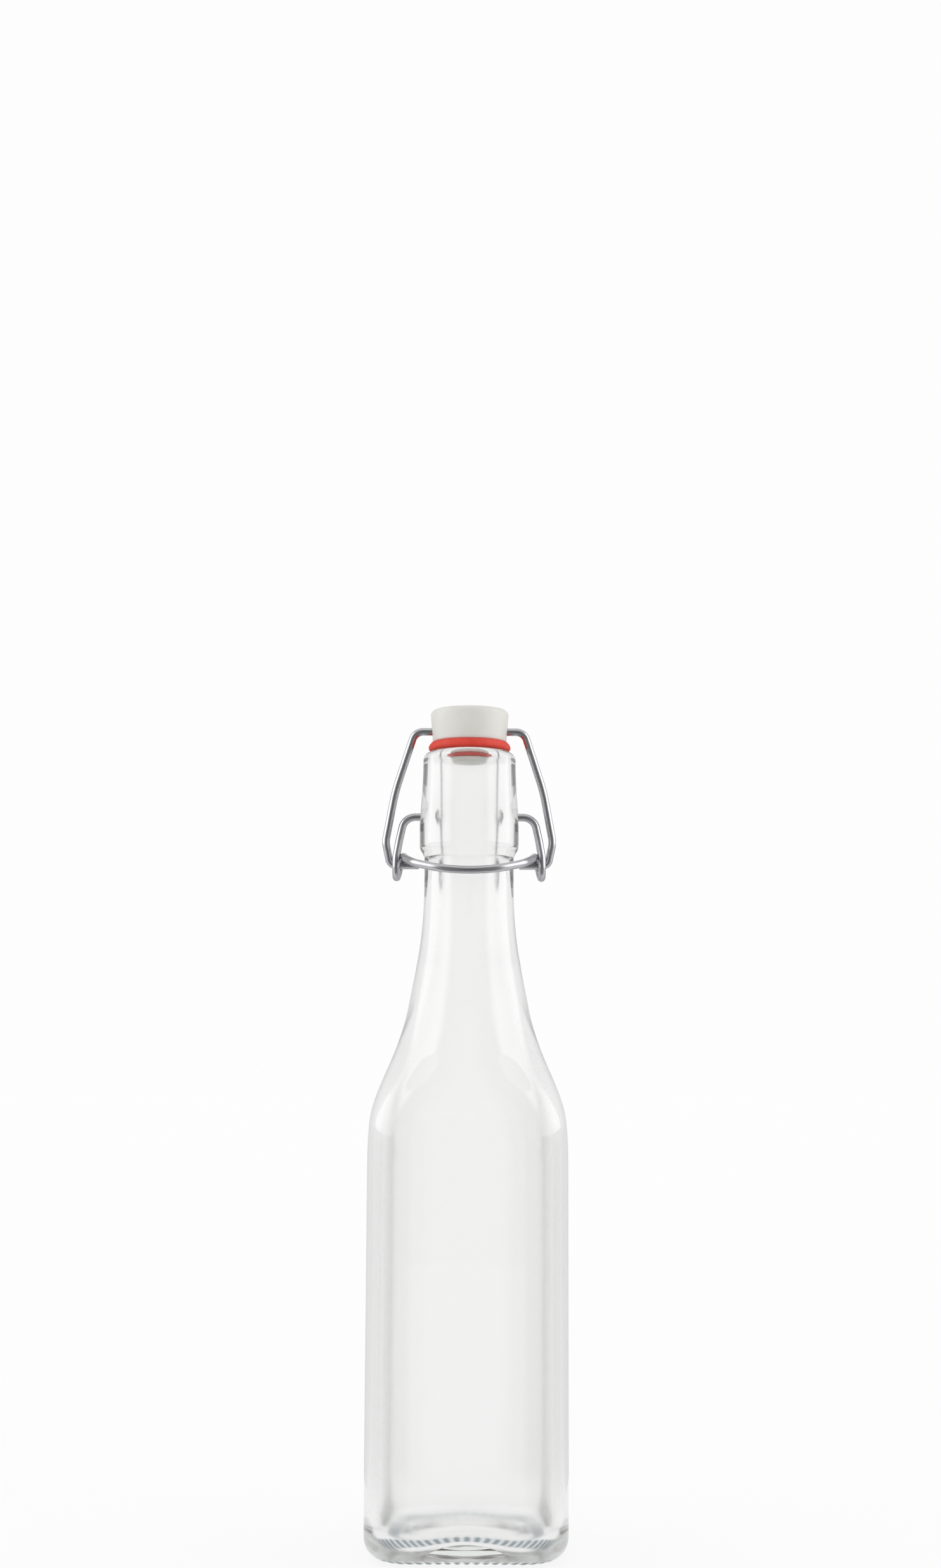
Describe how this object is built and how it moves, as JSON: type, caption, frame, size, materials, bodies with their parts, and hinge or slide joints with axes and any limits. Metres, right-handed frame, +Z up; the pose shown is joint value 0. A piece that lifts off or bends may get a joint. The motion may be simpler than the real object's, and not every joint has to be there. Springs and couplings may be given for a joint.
{
  "type": "swing-top bottle",
  "caption": "Square clear glass swing-top bottle with a round neck, hinged wire lever and bail, and a plastic stopper with a rubber gasket.",
  "frame": {"origin": "centre of the base, on the surface the bottle stands on", "axes": "+Z up along the bottle; the thumb arc of the lever faces -Y; all the closure's pivots run along X"},
  "size_m": [0.0622, 0.0622, 0.263],
  "materials": {
    "glass": "clear polished flint glass",
    "wire": "bright drawn stainless wire",
    "stopper": "satin off-white moulding",
    "gasket": "smooth red rubber"
  },
  "bodies": {
    "bottle": {"bottle": "glass"},
    "lever": {"lever_wire": "wire"},
    "bail": {"bail_wire": "wire"},
    "stopper": {"stopper": "stopper", "gasket": "gasket"}
  },
  "joints": [
    {"name": "lever_pivot", "type": "hinge", "parent": "bottle", "child": "lever", "pos_m": [0, 0, 0.2277], "axis": [-1, 0, 0], "range_deg": [0, 180]},
    {"name": "bail_pivot", "type": "hinge", "parent": "lever", "child": "bail", "pos_m": [0, 0, 0.212], "axis": [-1, 0, 0], "range_deg": [-116, 0]},
    {"name": "stopper_pivot", "type": "hinge", "parent": "bail", "child": "stopper", "pos_m": [0, 0, 0.2556], "axis": [-1, 0, 0], "range_deg": [-65, 0]}
  ],
  "couplings": [
    {"joint": "bail_pivot", "follows": "lever_pivot", "ratio": -0.64},
    {"joint": "stopper_pivot", "follows": "lever_pivot", "ratio": -0.36}
  ]
}
